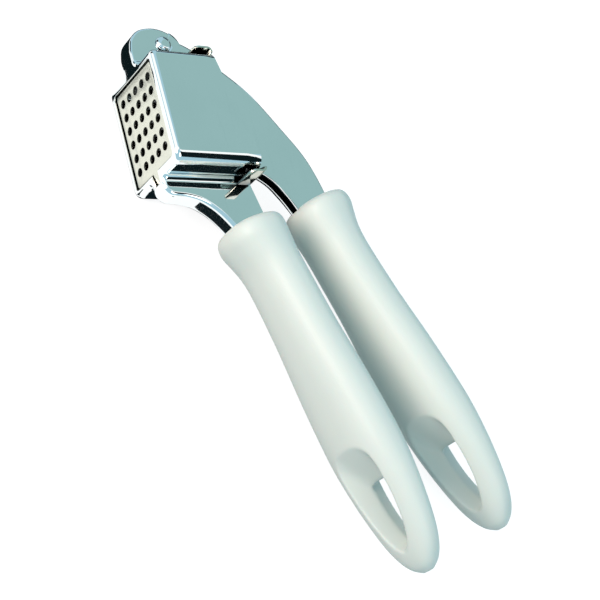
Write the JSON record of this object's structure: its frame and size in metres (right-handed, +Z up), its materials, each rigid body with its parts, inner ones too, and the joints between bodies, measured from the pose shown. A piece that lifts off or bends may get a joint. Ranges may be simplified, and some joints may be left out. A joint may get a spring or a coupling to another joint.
{
  "type": "garlic press",
  "caption": "Hand garlic press with a sheet-metal chamber, a perforated lift-out strainer, a hinged plunger lever and moulded plastic grips.",
  "frame": {"origin": "middle of the bottom of the bounding box of the closed press lying on one side of its chamber", "axes": "+X from the pivot towards the handle ends, +Y from the strainer towards the chamber's mouth and the press lever, +Z up across the width of the press"},
  "size_m": [0.166, 0.088, 0.026],
  "materials": {
    "chromed_steel": "polished chrome plate on bent sheet",
    "strainer_steel": "fine brushed stainless sheet",
    "plunger_steel": "chrome plate, slightly less bright",
    "rivet_steel": "bright domed heads",
    "grip_plastic": "white moulded plastic, soft gloss"
  },
  "bodies": {
    "chamber_body": {"chamber_lever": "chromed_steel", "strainer_insert": "strainer_steel", "pivot_rivet": "rivet_steel", "grip_a": "grip_plastic"},
    "press_body": {"press_lever": "chromed_steel", "grip_b": "grip_plastic"},
    "plunger_body": {"press_plate": "plunger_steel", "plunger_bracket": "plunger_steel", "plunger_pin": "rivet_steel"}
  },
  "joints": [
    {"name": "main_pivot", "type": "hinge", "parent": "chamber_body", "child": "press_body", "pos_m": [-0.07764, -0.03247, 0.013], "axis": [0, 0, 1], "range_deg": [0, 65]},
    {"name": "plunger_pivot", "type": "hinge", "parent": "press_body", "child": "plunger_body", "pos_m": [-0.04798, -0.03697, 0.013], "axis": [0, 0, 1], "range_deg": [-65, 0]}
  ],
  "couplings": [
    {"joint": "plunger_pivot", "follows": "main_pivot", "ratio": -1}
  ]
}
